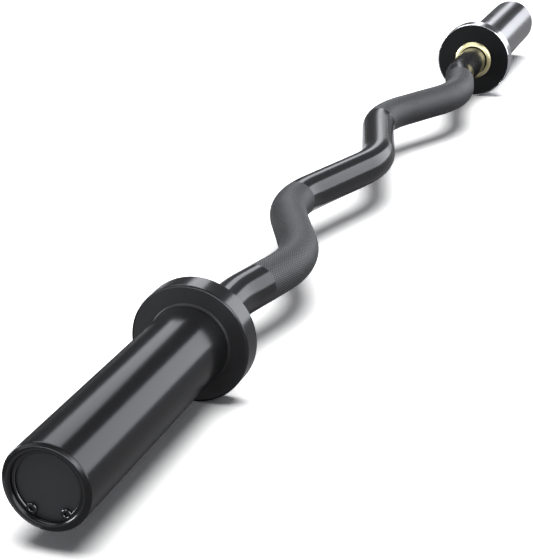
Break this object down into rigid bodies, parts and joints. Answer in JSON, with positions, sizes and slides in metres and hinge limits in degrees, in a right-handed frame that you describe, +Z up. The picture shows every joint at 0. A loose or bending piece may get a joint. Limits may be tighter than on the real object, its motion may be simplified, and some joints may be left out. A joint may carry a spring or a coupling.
{
  "type": "ez curl bar",
  "caption": "Bent weightlifting bar: a W-shaped steel shaft with knurled grips that turns in two collared sleeves for 50 mm bore plates.",
  "frame": {"origin": "middle of the bar, on the line through the two sleeves", "axes": "+X along the bar towards the bright sleeve, +Y to the side of the deep bends in the plane of the bends, +Z up, square to the bends"},
  "size_m": [1.2, 0.0785, 0.076],
  "materials": {
    "shaft_black": "black chrome, polished where smooth and matt where knurled",
    "sleeve_black": "satin black over turned steel",
    "sleeve_chrome": "bright chrome over turned steel",
    "collar_black": "satin black over turned steel",
    "collar_chrome": "bright chrome over turned steel",
    "face_plate_black": "fine matt black",
    "bush_bronze": "turned bronze",
    "washer_bronze": "flat bronze",
    "washer_steel": "ground steel",
    "ring_steel": "black oxide spring steel",
    "end_plate_black": "fine matt black"
  },
  "bodies": {
    "shaft_body": {"shaft": "shaft_black", "left_stop_washer": "washer_steel", "left_shaft_ring": "ring_steel", "right_stop_washer": "washer_steel", "right_shaft_ring": "ring_steel"},
    "left_sleeve_body": {"left_sleeve": "sleeve_black", "left_collar": "collar_black", "left_face_plate": "face_plate_black", "left_inner_bush": "bush_bronze", "left_outer_bush": "bush_bronze", "left_wear_washer": "washer_bronze", "left_end_plate": "end_plate_black", "left_end_ring": "ring_steel"},
    "right_sleeve_body": {"right_sleeve": "sleeve_chrome", "right_collar": "collar_chrome", "right_face_plate": "face_plate_black", "right_inner_bush": "bush_bronze", "right_outer_bush": "bush_bronze", "right_wear_washer": "washer_bronze", "right_end_plate": "end_plate_black", "right_end_ring": "ring_steel"}
  },
  "joints": [
    {"name": "left_sleeve_spin", "type": "hinge", "parent": "shaft_body", "child": "left_sleeve_body", "pos_m": [-0.496, 0, 0], "axis": [1, 0, 0], "continuous": true},
    {"name": "right_sleeve_spin", "type": "hinge", "parent": "shaft_body", "child": "right_sleeve_body", "pos_m": [0.496, 0, 0], "axis": [1, 0, 0], "continuous": true}
  ]
}
